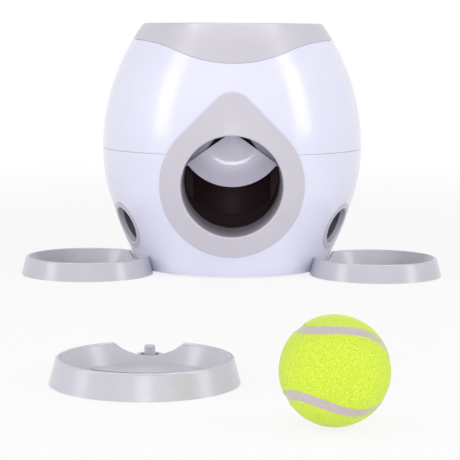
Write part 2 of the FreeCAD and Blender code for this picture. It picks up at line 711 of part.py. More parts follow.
def make_web(reach, low, high):
    """Web from a boss at the front outwards, to be cut off by the shell."""
    half, depth = size("web_wall") / 2, size("web_depth")
    return Part.makeBox(2 * half, depth, high - low, Vector(-half, -reach - depth, low))


def make_upper_shell():
    wall = size("shell_wall")
    low = size("equator_height") + size("seam_gap") / 2
    shell = barrel_wall(0, -wall, low, size("body_height"))
    shell = shell.cut(above_wave(size("seam_gap")))
    shelf_top = size("deck_bottom") - size("seat_gap")
    foot, ledge = Vector(0, 0, shelf_top - size("shelf_wall")), size("deck_ledge")
    shelf = Part.makeCylinder(barrel_radius(shelf_top, -wall / 2), size("shelf_wall"), foot)
    shelf = shelf.cut(Part.makeCylinder(ledge, FAR))
    shelf = shelf.cut(Part.makeCone(ledge + size("shelf_bevel"), ledge, size("shelf_wall") / 2, foot))
    shell = shell.fuse(shelf)
    reach, length = size("tab_reach"), size("hopper_screw_length")
    place = Vector(0, -reach, shelf_top - length)
    for azimuth in window_azimuths():
        boss = Part.makeCylinder(size("boss_radius"), length, place)
        web = make_web(reach, place.z, shelf_top)
        boss = boss.fuse(web).common(barrel(-wall / 2, low, shelf_top))
        bore = size("screw_radius") + size("screw_gap")
        pilot = Part.makeCylinder(bore, 2 * length, place - UP * (length / 2))
        shell = shell.fuse(in_azimuth(boss, azimuth)).cut(in_azimuth(pilot, azimuth))
    return shell.cut(front_hole())


def make_top_collar():
    wall = size("shell_wall")
    inner = wall + size("seat_gap") + size("lip_wall")
    low = size("collar_front") - size("skirt_depth")
    top = size("body_height")
    band = barrel_wall(0, -inner, low, top).common(above_wave())
    skirt = barrel_wall(-wall - size("seat_gap"), -inner, low, size("ledge_height"))
    skirt = skirt.common(above_wave(size("lip_height")))
    under = size("ledge_height") - size("ledge_wall")
    rim = solid_of_turn([
        (size("ledge_bore"), under), (barrel_radius(under, -wall), under),
        (barrel_radius(top, -wall), top), (size("rim_bore"), top),
        (size("rim_bore"), size("ledge_height")), (size("ledge_bore"), size("ledge_height")),
    ])
    collar = band.fuse([skirt, rim]).removeSplitter()
    edges = [edge for edge in collar.Edges if edge.BoundBox.ZMin > top - 0.01]
    return collar.makeFillet(size("rim_round"), edges)


# ---- bezel ----------------------------------------------------------------------------------

def teardrop():
    """The bezel's outline, as a prism through the front half of the body."""
    centre, radius = size("hole_height"), size("drop_radius")
    tip_radius = size("tip_arc")
    tip = size("tip_height") - tip_radius
    lean = math.acos((radius - tip_radius) / (tip - centre))
    side = Vector(math.sin(lean), 0, math.cos(lean))
    low = [Vector(sign * side.x * radius, 0, centre + side.z * radius) for sign in (-1, 1)]
    high = [Vector(sign * side.x * tip_radius, 0, tip + side.z * tip_radius) for sign in (-1, 1)]
    edges = [
        Part.Arc(low[0], Vector(0, 0, centre - radius), low[1]).toShape(),
        Part.makeLine(low[1], high[1]),
        Part.Arc(high[1], Vector(0, 0, tip + tip_radius), high[0]).toShape(),
        Part.makeLine(high[0], low[0]),
    ]
    return Part.Face(Part.Wire(edges)).extrude(FORWARD * FAR)


def make_front_bezel():
    proud, wall = size("bezel_proud"), size("tube_wall")
    low, high = 0, size("ledge_height")
    plate = barrel_wall(proud, size("seam_gap") / 2, low, high).common(teardrop())
    inner_end = size("chute_front") + size("seat_gap")
    outer = forward_cylinder(size("hole_radius") + wall, inner_end)
    open_top = Part.makeBox(2 * FAR, size("ring_depth") - inner_end + PAST, FAR,
                            Vector(-FAR, -size("ring_depth"), size("trough_top")))
    tube = outer.cut(open_top).common(barrel(proud / 2, low, high))
    bore_length = size("equator_radius") + proud + PAST - inner_end
    bore = Part.makeCone(size("bore_radius"), size("hole_radius"), bore_length,
                         Vector(0, -inner_end, size("hole_height")), FORWARD)
    behind = size("shell_wall") + size("seat_gap")
    catches = barrel_wall(-behind, -behind - size("lip_wall"), low, high)
    ahead = size("pivot_ahead")
    catches = catches.common(forward_cylinder(size("hole_radius") + wall + size("catch_depth"), ahead))
    half = size("catch_width") / 2
    strip = Part.makeBox(2 * half, FAR, 2 * FAR, Vector(-half, -FAR - ahead, -FAR))
    spokes = []
    for turn in (0, 90):
        spoke = strip.copy()
        spoke.rotate(ZERO, FORWARD, turn)
        spoke.translate(UP * size("hole_height"))
        spokes.append(spoke)
    catches = catches.common(spokes[0].fuse(spokes[1]))
    bezel = plate.fuse([tube, catches]).cut(bore).removeSplitter()

    def on_front(face):
        return all(abs(math.hypot(point.X, point.Y) - barrel_radius(point.Z, proud)) < 0.01
                   for point in face.Vertexes)

    rounded = []
    for edge in bezel.Edges:
        sides = bezel.ancestorsOfType(edge, Part.Face)
        if sum(on_front(face) for face in sides) == 1:
            rounded.append(edge)
    return bezel.makeFillet(size("bezel_round"), rounded)


# ---- drop tube and trough -------------------------------------------------------------------

def trough_cylinder(radius, start, length):
    """A cylinder on the trough's axis, which climbs gently to the rear from the trough's mouth."""
    slope = math.radians(size("trough_slope"))
    backward = Vector(0, math.cos(slope), math.sin(slope))
    mouth = Vector(0, -size("chute_front"), size("hole_height"))
    return Part.makeCylinder(radius, length, mouth + backward * start, backward)


def carrier_screw_places():
    """Centres of the two screws that hold the flap carrier, on the trough's front plane."""
    return [Vector(side * size("carrier_screw_half"), -size("chute_front"), size("carrier_screw_height"))
            for side in (-1, 1)]


def make_ball_chute():
    """Drop tube that opens into a short level bore; two bosses in front take the carrier's screws."""
    wall, bore = size("chute_wall"), size("shaft_bore")
    radius, front = size("trough_radius"), size("chute_front")
    depth = front - size("chute_stop")
    lead = 2 * wall
    above = Part.makeBox(2 * FAR, 2 * FAR, FAR, Vector(-FAR, -FAR, size("trough_top")))
    inside = Part.makeCylinder(bore, size("chute_top") + PAST)
    inside = inside.common(trough_cylinder(radius, -lead, FAR).fuse(above))
    outside = Part.makeCylinder(bore + wall, size("chute_top"))
    outside = outside.common(trough_cylinder(radius + wall, -lead, FAR).fuse(above))
    trough = trough_cylinder(radius + wall, -lead, depth + lead)
    hollow = trough_cylinder(radius, -lead - PAST, depth - wall + lead + PAST)
    for place in carrier_screw_places():
        outside = outside.fuse(Part.makeCylinder(size("boss_radius"), front - bore, place, FORWARD * -1))
    chute = outside.fuse(trough).cut(hollow).cut(inside)
    for place in carrier_screw_places():
        pilot = size("screw_radius") + size("screw_gap")
        chute = chute.cut(Part.makeCylinder(pilot, size("carrier_screw_length"), place, FORWARD * -1))
    ahead = Part.makeBox(2 * FAR, FAR, FAR, Vector(-FAR, -front - FAR, 0))
    return chute.cut(ahead)


# ---- flap -----------------------------------------------------------------------------------

def pivot():
    return Vector(0, -size("pivot_ahead"), size("pivot_height"))


def cross_cylinder(radius, left, right, centre):
    """A cylinder along X between two places."""
    return Part.makeCylinder(radius, right - left, Vector(left, centre.y, centre.z), RIGHT)


def make_ball_flap():
    """Dished fan below the shaft: an arc turned round the fore-and-aft line through the shaft."""
    centre = pivot()
    reach, wall = size("flap_radius"), size("flap_wall")

    def at(radius, ahead):
        return Vector(0, centre.y - ahead, centre.z - radius)

    root, belly = size("pin_radius") / 2, size("flap_belly")
    middle = -size("flap_dish") + size("flap_lean") / 2
    front = [at(root, wall / 2), at(belly, middle + wall / 2), at(reach, size("flap_lean") + wall / 2)]
    rear = [at(root, -wall / 2), at(belly, middle - wall / 2), at(reach, size("flap_lean") - wall / 2)]
    section = Part.Face(Part.Wire([
        Part.Arc(*front).toShape(),
        Part.makeLine(front[2], rear[2]),
        Part.Arc(*reversed(rear)).toShape(),
        Part.makeLine(rear[0], front[0]),
    ]))
    half = size("flap_half")
    section.rotate(centre, FORWARD, -half)
    fan = section.revolve(centre, FORWARD, 2 * half)
    hub = cross_cylinder(size("hub_radius"), -size("hub_half"), size("hub_half"), centre)
    bore = cross_cylinder(size("pin_radius") + size("hub_grip"), -FAR, FAR, centre)
    return fan.fuse(hub).cut(bore)


def make_flap_carrier():
    """Cheeks behind the flap, with a bridge and two lugs for the shaft."""
    wall = size("carrier_wall")
    rear = size("chute_front") + size("seat_gap")
    centre = pivot()
    cheeks = forward_cylinder(size("carrier_radius"), rear, wall)
    under = size("trough_top") + size("cheek_gap")
    low = Part.makeBox(2 * FAR, 2 * FAR, FAR, Vector(-FAR, -FAR, under - FAR))
    half, foot = size("carrier_half"), size("bridge_low")
    bridge = Part.makeBox(2 * half, wall, size("carrier_top") - foot, Vector(-half, -rear - wall, foot))
    neck, bend, base = size("notch_neck"), size("notch_bend"), size("trough_top")
    run = (bend - base) / math.tan(math.radians(size("notch_turn")))
    outline = [(neck, size("notch_top")), (neck, bend), (neck + run, base),
               (-neck - run, base), (-neck, bend), (-neck, size("notch_top"))]
    points = [Vector(x, -rear + PAST, z) for x, z in outline]
    notch = Part.Face(Part.makePolygon(points + points[:1])).extrude(FORWARD * (wall + 2 * PAST))
    carrier = cheeks.cut(low).fuse(bridge).cut(notch)
    inner, thick, radius = size("lug_inner"), size("lug_wall"), size("lug_radius")
    for left in (inner, -inner - thick):
        lug = cross_cylinder(radius, left, left + thick, centre)
        arm = Part.makeBox(thick, -centre.y - rear - wall / 2, 2 * radius,
                           Vector(left, centre.y, centre.z - radius))
        carrier = carrier.fuse([lug, arm])
    seat = size("pin_radius") + size("running_gap") + size("bush_wall") + size("screw_gap")
    for place in carrier_screw_places():
        bore = size("screw_radius") + size("screw_gap")
        carrier = carrier.cut(Part.makeCylinder(bore, FAR, place, FORWARD))
    return carrier.cut(cross_cylinder(seat, -FAR, FAR, centre))


def make_flap_bushes():
    """Two plain sleeves in the carrier's lugs."""
    outer = "pin_radius + running_gap + bush_wall"
    length = "lug_wall - 2 * seat_gap"
    sleeves = [
        across_pin("bush_right", outer, length, "lug_inner + seat_gap"),
        across_pin("bush_left", outer, length, "-lug_inner - lug_wall + seat_gap"),
    ]
    pair = together("Part::Compound", "bush_blanks", sleeves)
    return joined("Part::Cut", "flap_bushes", pair, pivot_bore("bush_bore", "pin_radius + running_gap"))


def make_index_arm():
    """Arm on the shaft whose rounded tip pushes a ratchet tooth."""
    left, middle = "arm_inner", "arm_inner + arm_wall"
    blade = tied("Part::Box", "arm_blade",
                 {"Length": "arm_wall", "Width": "arm_width", "Height": "arm_length"},
                 (left, "-arm_width / 2", "0"))
    hub = tied("Part::Cylinder", "arm_hub", {"Radius": "hub_radius", "Height": "arm_wall"},
               (left, "0", "0"), ALONG_X)
    tip = tied("Part::Cylinder", "arm_end", {"Radius": "arm_tip", "Height": "arm_wall"},
               (left, "0", "arm_length"), ALONG_X)
    bore = tied("Part::Cylinder", "arm_bore", {"Radius": "pin_radius + hub_grip", "Height": middle},
                ("0", "0", "0"), ALONG_X)
    blank = together("Part::MultiFuse", "arm_blank", [hub, blade, tip])
    arm = joined("Part::Cut", "index_arm", blank, bore)
    arm.Placement = Placement(ZERO, Rotation(RIGHT, size("arm_back")))
    bind(arm, {"Placement.Base.y": "-pivot_ahead", "Placement.Base.z": "pivot_height",
               "Placement.Rotation.Angle": "arm_back * 1 deg"})
    doc.recompute()
    return arm


def make_flap_spring():
    """Close-wound coil round the shaft between the right lug and the index arm."""
    turns = []
    for turn in range(int(size("spring_turns"))):
        left = "lug_inner + lug_wall + seam_gap + spring_wire / 2 + %d * spring_pitch" % turn
        turns.append(tied("Part::Torus", "spring_turn_%d" % turn,
                          {"Radius1": "spring_radius", "Radius2": "spring_wire / 2"},
                          (left, "-pivot_ahead", "pivot_height"), ALONG_X))
    return together("Part::MultiFuse", "flap_spring", turns)


def make_shaft_clip():
    """Retaining ring at the shaft's left end."""
    ring = across_pin("clip_blank", "pin_radius + clip_width", "clip_wall",
                      "-lug_inner - lug_wall - seat_gap - clip_wall")
    return joined("Part::Cut", "shaft_clip", ring, pivot_bore("clip_bore", "pin_radius + hub_grip"))


# ---- trays ----------------------------------------------------------------------------------

def make_floor_rib(radius, half):
    """Curved rib with round ends on the dish floor, centred behind the docked tray's peg."""
    thick, low = size("rib_width") / 2, size("dish_height") - size("rib_root")
    height, foot = size("rib_height") + size("rib_root"), Vector(0, 0, low)
    rib = Part.makeCylinder(radius + thick, height, foot)
    rib = rib.cut(Part.makeCylinder(radius - thick, height, foot)).common(front_wedge(half))
    for side in (-1, 1):
        end = Part.makeCylinder(thick, height, Vector(0, -radius, low))
        rib = rib.fuse(in_azimuth(end, side * half))
    rib.translate(Vector(0, -size("rib_centre"), 0))
    return rib.removeSplitter()


def peg_block(radius, bottom, top, length=FAR):
    """A block with a round inner end at the peg, from there outwards."""
    reach = size("peg_reach")
    block = Part.makeCylinder(radius, top - bottom, Vector(0, -reach, bottom))
    corner = Vector(-radius, -reach - length, bottom)
    return block.fuse(Part.makeBox(2 * radius, length, top - bottom, corner))


def make_tray():
    """Tray as it sits docked at the front of the body; its notch follows the body."""
    wall, floor = size("tray_wall"), size("dish_height")
    height, foot = size("tray_height"), size("tray_foot")
    rim, mouth, dish = size("tray_rim"), size("tray_mouth"), size("dish_radius")
    crown = (rim - mouth) / 2
    middle = (rim + mouth) / 2
    shoulder = height - crown
    hollow_top = shoulder - size("rim_root")
    bulge = crown * math.sqrt(0.5)
    dish_body = solid_of_turn([
        (0, floor - wall), (dish + size("dish_step"), floor - wall),
        (mouth + size("rim_skin"), hollow_top), (rim - wall, hollow_top),
        (foot - wall, 0), (foot, 0),
        (rim, shoulder, middle + bulge, shoulder + bulge),
        (middle, height, middle - bulge, shoulder + bulge),
        (mouth, shoulder), (dish, floor), (0, floor),
    ])
    dish_body.translate(Vector(0, -size("tray_reach"), 0))
    low, high = size("tongue_lift"), size("tongue_height")
    half, gap = size("tongue_width") / 2, size("tray_gap")
    length = barrel_radius(high, gap) + size("tongue_root") - size("peg_reach")
    tongue = peg_block(half, low, high, length)
    hollow = peg_block(half - size("tongue_wall"), size("tongue_floor"), high + PAST, length)
    peg = Part.makeCylinder(size("peg_radius"), size("peg_top") - low, Vector(0, -size("peg_reach"), low))
    tip = [edge for edge in peg.Edges if edge.BoundBox.ZMin > size("peg_top") - 0.01]
    peg = peg.makeChamfer(size("peg_bevel"), tip)
    saddle_length = size("tray_reach") - size("dish_radius") + size("saddle_past")
    saddle_centre = Vector(0, 0, size("saddle_height") + size("saddle_arc"))
    saddle = Part.makeCylinder(size("saddle_arc"), saddle_length, saddle_centre, FORWARD)
    body = barrel(gap, -PAST, size("equator_height"))
    tray = dish_body.cut(body).cut(saddle)
    bridge = tongue.common(barrel_wall(gap + size("tongue_bridge"), gap, 0, size("equator_height")))
    ribs = [make_floor_rib(size("rib_near"), size("rib_half_near")),
            make_floor_rib(size("rib_far"), size("rib_half_far"))]
    return tray.fuse([bridge.cut(saddle), tongue.cut(hollow), peg] + ribs)


# ---- base -----------------------------------------------------------------------------------

def make_base_plate():
    """Plate with a dock and peg socket for each tray, and two saddles for the trough."""
    low, wall = size("floor_gap"), size("base_wall")
    top, seat = low + wall, size("seat_gap")
    inside = barrel(-size("shell_wall") - seat, low, size("equator_height"))
    plate = barrel(-size("shell_wall") - seat, low, top)
    dock_half = size("tongue_width") / 2 + size("dock_gap")
    roof, dock_wall = size("tongue_height") + size("dock_gap"), size("dock_wall")
    peg_place = Vector(0, -size("peg_reach"), 0)
    room = peg_block(dock_half, -PAST, roof)
    boss = Part.makeCylinder(size("socket_radius"), size("socket_top") - roof, peg_place + UP * roof)
    dock = peg_block(dock_half + dock_wall, low, roof + dock_wall).fuse(boss).common(inside)
    socket = Part.makeCylinder(size("peg_radius") + size("socket_gap"), FAR, peg_place)
    trough = trough_cylinder(size("trough_radius") + size("chute_wall") + seat, -size("chute_front"), FAR)
    half, saddle_wall = size("saddle_half"), size("saddle_wall")
    for place in (-size("saddle_front"), size("saddle_rear")):
        saddle = Part.makeBox(2 * half, saddle_wall, size("saddle_top") - low - wall / 2,
                              Vector(-half, place - saddle_wall / 2, low + wall / 2))
        plate = plate.fuse(saddle.cut(trough))
    for azimuth in port_azimuths().values():
        plate = plate.fuse(in_azimuth(dock, azimuth))
        plate = plate.cut(in_azimuth(room, azimuth)).cut(in_azimuth(socket, azimuth))
    clear, boss_reach = size("screw_gap"), size("boss_reach")
    under = low - PAST
    tools = [
        Part.makeCylinder(size("foot_radius") + seat, size("foot_seat") + PAST,
                          Vector(0, -size("foot_reach"), under)),
        Part.makeCylinder(size("screw_radius") + clear, FAR, Vector(0, -boss_reach, 0)),
        Part.makeCylinder(size("head_radius") + clear, size("head_height") + clear + PAST,
                          Vector(0, -boss_reach, under)),
    ]
    for azimuth in foot_azimuths():
        for tool in tools:
            plate = plate.cut(in_azimuth(tool, azimuth))
    return plate


def make_foot_pads():
    """Four rubber pads seated in the base plate."""
    pads = []
    for number, turn in enumerate(FOOT_TURNS):
        across, along = round_axis("foot_reach", turn)
        pads.append(tied("Part::Cylinder", "foot_pad_%d" % number,
                         {"Radius": "foot_radius", "Height": "floor_gap + foot_seat"}, (across, along, "0")))
    return together("Part::Compound", "foot_pads", pads)


def make_upright_screws(label, reach, turns, head_base, shank_base, length):
    """Pan-head screws that stand round the body's axis."""
    screws = []
    for number, turn in enumerate(turns):
        across, along = round_axis(reach, turn)
        head = tied("Part::Cylinder", "%s_head_%d" % (label, number),
                    {"Radius": "head_radius", "Height": "head_height"}, (across, along, head_base))
        shank = tied("Part::Cylinder", "%s_shank_%d" % (label, number),
                     {"Radius": "screw_radius", "Height": length}, (across, along, shank_base))
        screws.append(together("Part::MultiFuse", "%s_%d" % (label, number), [head, shank]))
    return together("Part::Compound", label, screws)


def make_carrier_screws():
    """Two pan-head screws through the carrier's bridge into the drop tube's bosses."""
    under_head = "-chute_front - seat_gap - carrier_wall"
    length = "carrier_screw_length + carrier_wall - seat_gap"
    screws = []
    for number, side in enumerate(("-", "")):
        across = side + "carrier_screw_half"
        head = tied("Part::Cylinder", "carrier_screw_head_%d" % number,
                    {"Radius": "head_radius", "Height": "head_height"},
                    (across, under_head, "carrier_screw_height"), TO_FRONT)
        shank = tied("Part::Cylinder", "carrier_screw_shank_%d" % number,
                     {"Radius": "screw_radius", "Height": length},
                     (across, under_head + " + " + length, "carrier_screw_height"), TO_FRONT)
        screws.append(together("Part::MultiFuse", "carrier_screw_%d" % number, [head, shank]))
    return together("Part::Compound", "carrier_screws", screws)


# ---- document objects -----------------------------------------------------------------------

def make_deck():
    """Fixed plate under the feed wheel, with one outlet per chute."""
    deck = turned_body("outlet_deck", [
        ("deck_bore", "deck_bottom"), ("deck_radius", "deck_bottom"),
        ("deck_radius", "deck_top"), ("deck_bore", "deck_top"),
    ])
    places = {
        "left": round_axis("feed_radius", "-port_turn"),
        "right": round_axis("feed_radius", "port_turn"),
        "rear": ("0", "feed_radius"),
    }
    for name, (across, along) in places.items():
        circle = bound_circle(deck, "outlet_" + name, "deck_top", "outlet_bore", across, along)
        add_feature(deck, "PartDesign::Pocket", "outlet_cut_" + name, circle, "2 * deck_wall")
    for number, turn in enumerate(WINDOW_TURNS):
        across, along = round_axis("tab_reach", turn)
        circle = bound_circle(deck, "screw_hole_%d" % number, "deck_top", "screw_radius + screw_gap",
                              across, along)
        add_feature(deck, "PartDesign::Pocket", "screw_hole_cut_%d" % number, circle, "2 * deck_wall")
    return deck


def make_feed_wheel():
    """Star wheel: a hub that runs in the deck, and straight vanes with the treats between them."""
    wheel = turned_body("feed_wheel", [
        ("wheel_bore", "hub_bottom"), ("hub_outer", "hub_bottom"),
        ("hub_outer", "wheel_bottom"), ("hub_outer + hub_flange", "wheel_bottom"),
        ("hub_outer + hub_flange", "wheel_top"), ("wheel_bore", "wheel_top"),
    ])
    vane = bound_outline(wheel, "vane_outline", "XY_Plane", [
        ("hub_outer + hub_flange / 2", "-vane_wall / 2"), ("wheel_radius", "-vane_wall / 2"),
        ("wheel_radius", "vane_wall / 2"), ("hub_outer + hub_flange / 2", "vane_wall / 2"),
    ])
    bind(vane, {"AttachmentOffset.Base.z": "wheel_bottom"})
    pad = add_feature(wheel, "PartDesign::Pad", "vane", vane, "wheel_height")
    add_polar(wheel, "vanes", pad, "vane_count")
    return wheel


def make_ratchet_ring():
    """Ring of saw teeth under the wheel's hub: steep faces meet the index arm."""
    ring = turned_body("ratchet_ring", [
        ("ratchet_bore", "ratchet_bottom"), ("ratchet_root - tooth_root", "ratchet_bottom"),
        ("ratchet_root - tooth_root", "ratchet_top"), ("ratchet_bore", "ratchet_top"),
    ])
    pitch = "(360 / ratchet_teeth) * 1 deg"
    tooth = bound_outline(ring, "tooth_outline", "XY_Plane", [
        ("ratchet_root - 2 * tooth_root", "0"), ("ratchet_tip", "0"),
        ("ratchet_root * cos(%s)" % pitch, "ratchet_root * sin(%s)" % pitch),
        ("(ratchet_root - 2 * tooth_root) * cos(%s)" % pitch,
         "(ratchet_root - 2 * tooth_root) * sin(%s)" % pitch),
    ])
    bind(tooth, {"AttachmentOffset.Base.z": "ratchet_bottom"})
    pad = add_feature(ring, "PartDesign::Pad", "tooth", tooth, "ratchet_height")
    add_polar(ring, "teeth", pad, "ratchet_teeth")
    return ring


def make_hopper():
    """Ring-shaped bin: outer skirt on the deck, floor over the wheel, sleeve round the drop tube."""
    return turned_body("treat_hopper_blank", [
        ("sleeve_bore", "hopper_floor"), ("hopper_outer - hopper_wall", "hopper_floor"),
        ("hopper_outer - hopper_wall", "hopper_foot"), ("hopper_outer", "hopper_foot"),
        ("hopper_outer", "hopper_top"), ("hopper_outer - hopper_wall", "hopper_top"),
        ("hopper_outer - hopper_wall", "hopper_floor + hopper_wall"),
        ("sleeve_bore + hopper_wall", "hopper_floor + hopper_wall"),
        ("sleeve_bore + hopper_wall", "sleeve_top"), ("sleeve_bore", "sleeve_top"),
    ])


def window_azimuths():
    """The hopper's windows and tabs lie half way between the outlets."""
    between = (size("port_turn") + 180) / 2
    return [0, between, -between]


def make_hopper_tab():
    """Tab on the hopper's skirt that a screw clamps to the deck."""
    low, reach, wall = size("hopper_foot"), size("tab_reach"), size("hopper_wall")
    half, inner = size("tab_width") / 2, size("hopper_outer") - wall / 2
    tab = Part.makeBox(2 * half, reach - inner / 2, wall, Vector(-half, -reach, low))
    tab = tab.fuse(Part.makeCylinder(half, wall, Vector(0, -reach, low)))
    hole = Part.makeCylinder(size("screw_radius") + size("screw_gap"), FAR, Vector(0, -reach, 0))
    return tab.cut(Part.makeCylinder(inner, FAR)).cut(hole)


def make_hopper_windows():
    """Three arc-shaped windows in the hopper's floor, between the outlets."""
    radius, half_width, wall = size("feed_radius"), size("window_width") / 2, size("hopper_wall")
    foot = Vector(0, 0, size("hopper_floor") - wall)
    ring = Part.makeCylinder(radius + half_width, 3 * wall, foot)
    ring = ring.cut(Part.makeCylinder(radius - half_width, 3 * wall, foot))
    window = ring.common(front_wedge(size("window_turn") / 2))
    return Part.makeCompound([in_azimuth(window, azimuth) for azimuth in window_azimuths()])


def make_bowl():
    """Bowl with a flange on the collar's ledge, a cone, and a neck inside the drop tube."""
    low, top = "ledge_height + seat_gap", "ledge_height + seat_gap + bowl_wall"
    rim, mouth = "ledge_bore + flange_width", "(ledge_bore - flange_step)"
    slope = "atan(bowl_depth / (%s - throat_bore))" % mouth
    neck = "throat_bore + bowl_wall"
    bend_out = "cone_foot + bowl_wall * (tan(%s) - 1 / cos(%s))" % (slope, slope)
    shoulder = "%s + bowl_wall * (1 / cos(%s) - 1) / tan(%s)" % (mouth, slope, slope)
    bowl = turned_body("ball_funnel", [
        ("throat_bore", "neck_bottom"), ("throat_bore", "cone_foot"), (mouth, top), (rim, top), (rim, low),
        (shoulder, low), (neck, bend_out), (neck, "neck_bottom"),
    ])
    round_edge(bowl, "throat_round_inside", "throat_bore", "cone_foot", "throat_round")
    round_edge(bowl, "throat_round_outside", neck, bend_out, "throat_round - bowl_wall")
    return bowl


def round_edge(body, name, radius, height, bend_radius):
    """Rounds the circular edge of a turned body that lies at a radius and height."""
    base = body.Tip
    place = [float(base.evalExpression(spelled(text))) for text in (radius, height)]
    found = []
    for number, edge in enumerate(base.Shape.Edges, start=1):
        level, point = edge.BoundBox, edge.Vertexes[0].Point
        flat = abs(level.ZMin - place[1]) < 0.01 and abs(level.ZMax - place[1]) < 0.01
        if flat and abs(math.hypot(point.x, point.y) - place[0]) < 0.01:
            found.append("Edge%d" % number)
    fillet = body.newObject("PartDesign::Fillet", name)
    fillet.Base = (base, found)
    bind(fillet, {"Radius": bend_radius})
    doc.recompute()


def make_ball_shell(label, radius, inside):
    """Hollow sphere where the loose ball lies."""
    place = ("ball_side", "-ball_ahead", "ball_diameter / 2")
    outer = tied("Part::Sphere", label + "_outside", {"Radius": radius}, place)
    inner = tied("Part::Sphere", label + "_inside", {"Radius": inside}, place)
    return joined("Part::Cut", label, outer, inner)


nodes = {}
nodes["lower_shell"] = feature("lower_shell", make_lower_shell())
nodes["upper_shell"] = feature("upper_shell", make_upper_shell())
nodes["top_collar"] = feature("top_collar", make_top_collar())
nodes["ball_funnel"] = make_bowl()
nodes["front_bezel"] = feature("front_bezel", make_front_bezel())
nodes["ball_chute"] = feature("ball_chute", make_ball_chute())
nodes["flap_carrier"] = feature("flap_carrier", make_flap_carrier())
nodes["carrier_screws"] = make_carrier_screws()
nodes["flap_bushes"] = make_flap_bushes()
nodes["flap_spring"] = make_flap_spring()
nodes["ball_flap"] = feature("ball_flap", make_ball_flap())
nodes["index_arm"] = make_index_arm()
nodes["shaft_clip"] = make_shaft_clip()
nodes["flap_shaft"] = across_pin("flap_shaft", "pin_radius", "pin_left + pin_right", "-pin_left")
nodes["feed_wheel"] = make_feed_wheel()
nodes["ratchet_ring"] = make_ratchet_ring()
nodes["outlet_deck"] = make_deck()
hopper_blank = make_hopper()
windows = feature("hopper_windows", make_hopper_windows())
hopper_floor = joined("Part::Cut", "treat_hopper_floor", hopper_blank, windows)
tab_shapes = [in_azimuth(make_hopper_tab(), azimuth) for azimuth in window_azimuths()]
tabs = feature("hopper_tabs", Part.makeCompound(tab_shapes))
nodes["treat_hopper"] = joined("Part::Fuse", "treat_hopper", hopper_floor, tabs)
tab_top = "hopper_foot + hopper_wall"
nodes["hopper_screws"] = make_upright_screws(
    "hopper_screws", "tab_reach", WINDOW_TURNS, tab_top, tab_top + " - hopper_screw_length",
    "hopper_screw_length")
outlet_ring, treat_chute = make_outlet_ring(), make_treat_chute()
for dock, azimuth in port_azimuths().items():
    around = Placement(ZERO, Rotation(UP, azimuth))
    nodes["outlet_ring_" + dock] = feature("outlet_ring_" + dock, outlet_ring, around)
    nodes["treat_chute_" + dock] = feature("treat_chute_" + dock, treat_chute, around)
tray = make_tray()
for dock in DOCKS:
    around = Placement(ZERO, Rotation(UP, port_azimuths()[dock]))
    nodes["tray_" + dock] = feature("tray_" + dock, tray, around)
loose = Vector(-size("loose_side"), size("tray_reach") - size("loose_ahead"), 0)
nodes["tray_loose"] = feature("tray_loose", tray, Placement(loose, Rotation()))
nodes["base_plate"] = feature("base_plate", make_base_plate())
nodes["foot_pads"] = make_foot_pads()
nodes["base_screws"] = make_upright_screws(
    "base_screws", "boss_reach", FOOT_TURNS, "floor_gap", "floor_gap + head_height", "screw_length")
nodes["ball_felt"] = make_ball_shell("ball_felt", "ball_diameter / 2", "ball_diameter / 2 - felt_depth")
core_size = "ball_diameter / 2 - felt_depth - seat_gap"
nodes["ball_core"] = make_ball_shell("ball_core", core_size, core_size + " - rubber_depth")
doc.recompute()

# ---- checks and export ----------------------------------------------------------------------

for thing in doc.Objects:
    if "Invalid" in thing.State or "Error" in thing.State:
        raise RuntimeError("%s did not rebuild: %s" % (thing.Label, thing.State))
broken = [name for name, thing in nodes.items()
          if thing.Shape.isNull() or not thing.Shape.isValid() or not thing.Shape.Solids]
if broken:
    raise RuntimeError("no valid solid: %s" % ", ".join(broken))
for name, thing in nodes.items():
    if thing.Label != name:
        raise RuntimeError("%s is labelled %s" % (name, thing.Label))

os.makedirs("parts", exist_ok=True)
for name, thing in nodes.items():
    thing.Shape.exportStep("parts/%s.step" % name)
    print("%-18s %d solid(s) %10.1f mm3" % (name, len(thing.Shape.Solids), thing.Shape.Volume))
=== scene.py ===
import math
import bmesh
import bpy
from mathutils import Euler, Matrix, Vector, noise
from mathutils.kdtree import KDTree


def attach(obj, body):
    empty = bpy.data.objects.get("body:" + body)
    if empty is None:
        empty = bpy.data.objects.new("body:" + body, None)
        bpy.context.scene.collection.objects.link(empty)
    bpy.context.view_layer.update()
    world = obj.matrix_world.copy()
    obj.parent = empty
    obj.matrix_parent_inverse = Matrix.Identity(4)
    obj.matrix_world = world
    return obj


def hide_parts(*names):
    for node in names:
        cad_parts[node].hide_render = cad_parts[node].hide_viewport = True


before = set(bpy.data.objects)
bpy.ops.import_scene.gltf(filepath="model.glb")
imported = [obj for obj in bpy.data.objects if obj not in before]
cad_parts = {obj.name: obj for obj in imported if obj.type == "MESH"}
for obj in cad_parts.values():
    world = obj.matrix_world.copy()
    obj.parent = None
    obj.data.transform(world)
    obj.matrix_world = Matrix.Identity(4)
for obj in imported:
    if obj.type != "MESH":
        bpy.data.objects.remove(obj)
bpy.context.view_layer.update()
scene = bpy.context.scene
mm = 0.001
noiseSpan = {"From Min": 0.3, "From Max": 0.7}  # where nearly all of a noise's values lie
white = (1, 1, 1, 1)


def linear(code, amount=1.0):  # sRGB hex to linear, darker or lighter by amount
    parts = [int(code[at:at + 2], 16) / 255 for at in (0, 2, 4)]
    parts = [part / 12.92 if part <= 0.04045 else ((part + 0.055) / 1.055) ** 2.4
             for part in parts]
    return [min(1, part * amount) for part in parts] + [1]


def feed(tree, node, feeds):  # a socket in feeds is linked, anything else is set
    for name, value in feeds.items():
        if isinstance(value, bpy.types.NodeSocket):
            tree.links.new(value, node.inputs[name])
        else:
            node.inputs[name].default_value = value


